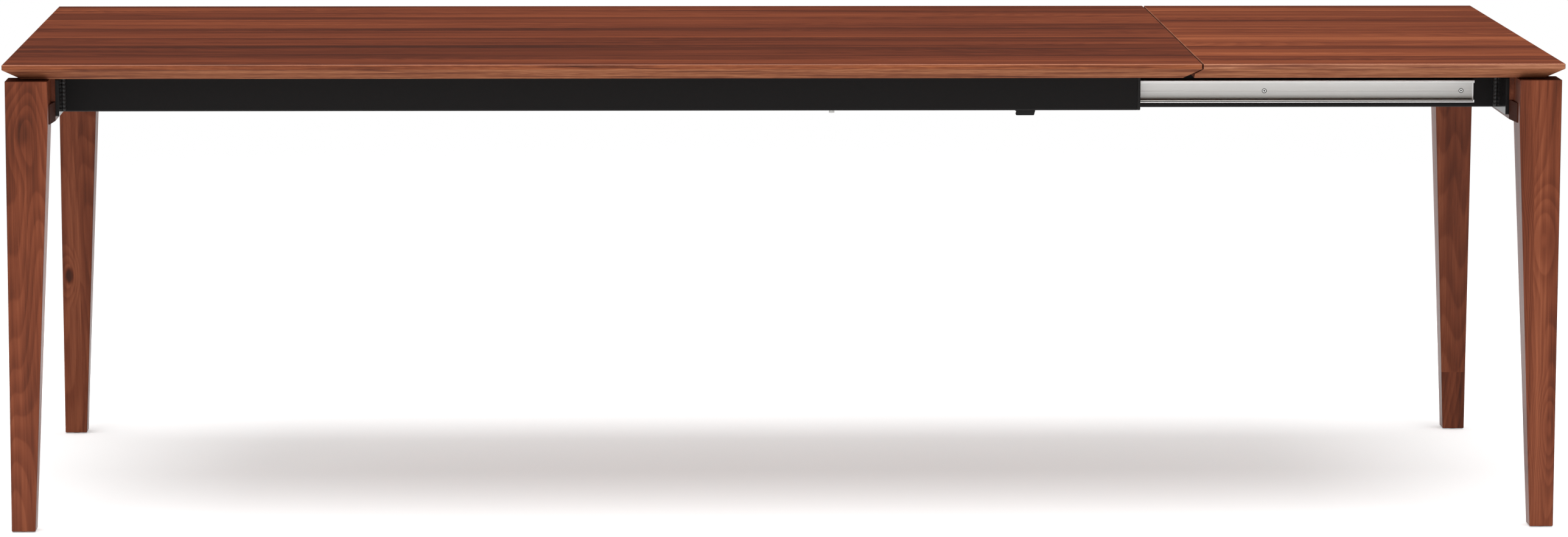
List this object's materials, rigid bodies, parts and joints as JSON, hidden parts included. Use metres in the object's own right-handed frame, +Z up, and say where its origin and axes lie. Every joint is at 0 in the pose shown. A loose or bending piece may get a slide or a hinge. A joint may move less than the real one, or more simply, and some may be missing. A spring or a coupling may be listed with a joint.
{
  "type": "extending dining table",
  "caption": "Dark walnut dining table on tapered legs, its end pulled out on steel rails and aluminium runners with a loose extension leaf laid in.",
  "frame": {"origin": "on the floor under the middle of the open table", "axes": "+X along the length from the fixed end to the end that pulls out, -Y the front, +Z up"},
  "size_m": [2.48, 1, 0.75],
  "materials": {
    "top_wood": "satin lacquer, lengthwise staves",
    "leaf_wood": "satin lacquer, lengthwise staves",
    "frame_wood": "satin lacquer",
    "black_steel": "satin powder coat",
    "black_fixings": "black oxide",
    "zinc_fixings": "zinc plated",
    "runner_aluminium": "brushed along its length",
    "black_plastic": "fine grain",
    "pale_nylon": "satin"
  },
  "bodies": {
    "fixed_frame": {"main_top": "top_wood", "left_front_leg": "frame_wood", "left_rear_leg": "frame_wood", "left_end_rail": "frame_wood", "left_glides": "black_plastic", "left_front_plate": "black_steel", "left_rear_plate": "black_steel", "left_plate_bolts": "black_fixings", "left_welds": "black_steel", "front_outer_rail": "black_steel", "rear_outer_rail": "black_steel", "front_rail_cap": "black_plastic", "rear_rail_cap": "black_plastic", "fixed_cross_tube": "black_steel", "top_spacers": "black_plastic", "top_screws": "zinc_fixings", "roller_axles": "zinc_fixings", "axle_nuts": "zinc_fixings", "lock_bracket": "black_steel", "lock_bracket_screws": "zinc_fixings", "lock_pivot": "zinc_fixings"},
    "end_frame": {"right_front_leg": "frame_wood", "right_rear_leg": "frame_wood", "right_end_rail": "frame_wood", "right_glides": "black_plastic", "right_front_plate": "black_steel", "right_rear_plate": "black_steel", "right_plate_bolts": "black_fixings", "right_welds": "black_steel", "front_inner_rail": "black_steel", "rear_inner_rail": "black_steel", "front_inner_plug": "black_plastic", "rear_inner_plug": "black_plastic", "tail_bar": "black_steel", "tail_bolts": "zinc_fixings", "front_runner": "runner_aluminium", "rear_runner": "runner_aluminium", "runner_screws": "zinc_fixings", "front_runner_stop": "pale_nylon", "rear_runner_stop": "pale_nylon"},
    "leaf": {"extension_leaf": "leaf_wood", "front_leaf_strip": "pale_nylon", "rear_leaf_strip": "pale_nylon", "leaf_strip_screws": "zinc_fixings"},
    "lever": {"lock_lever": "black_plastic"},
    "front_tail_roller_body": {"front_tail_roller": "pale_nylon"},
    "front_end_roller_body": {"front_end_roller": "pale_nylon"},
    "rear_tail_roller_body": {"rear_tail_roller": "pale_nylon"},
    "rear_end_roller_body": {"rear_end_roller": "pale_nylon"}
  },
  "joints": [
    {"name": "end_frame_slide", "type": "slide", "parent": "fixed_frame", "child": "end_frame", "axis": [1, 0, 0], "range_m": [-0.58, 0.025]},
    {"name": "leaf_lift", "type": "slide", "parent": "fixed_frame", "child": "leaf", "axis": [0.9063, 0, 0.4226], "range_m": [0, 0.65]},
    {"name": "lock_swing", "type": "hinge", "parent": "fixed_frame", "child": "lever", "pos_m": [0.391, -0.336, 0.6626], "axis": [0, -1, 0], "range_deg": [0, 40]},
    {"name": "front_tail_roller_turn", "type": "hinge", "parent": "fixed_frame", "child": "front_tail_roller_body", "pos_m": [0.1089, -0.3379, 0.689], "axis": [0, 1, 0], "range_deg": [-2170, 105]},
    {"name": "front_end_roller_turn", "type": "hinge", "parent": "fixed_frame", "child": "front_end_roller_body", "pos_m": [0.499, -0.3379, 0.689], "axis": [0, 1, 0], "range_deg": [-2170, 105]},
    {"name": "rear_tail_roller_turn", "type": "hinge", "parent": "fixed_frame", "child": "rear_tail_roller_body", "pos_m": [0.1089, 0.3379, 0.689], "axis": [0, 1, 0], "range_deg": [-2170, 105]},
    {"name": "rear_end_roller_turn", "type": "hinge", "parent": "fixed_frame", "child": "rear_end_roller_body", "pos_m": [0.499, 0.3379, 0.689], "axis": [0, 1, 0], "range_deg": [-2170, 105]}
  ],
  "couplings": [
    {"joint": "front_tail_roller_turn", "follows": "end_frame_slide", "rad_per_m": 64.935},
    {"joint": "front_end_roller_turn", "follows": "end_frame_slide", "rad_per_m": 64.935},
    {"joint": "rear_tail_roller_turn", "follows": "end_frame_slide", "rad_per_m": 64.935},
    {"joint": "rear_end_roller_turn", "follows": "end_frame_slide", "rad_per_m": 64.935}
  ]
}
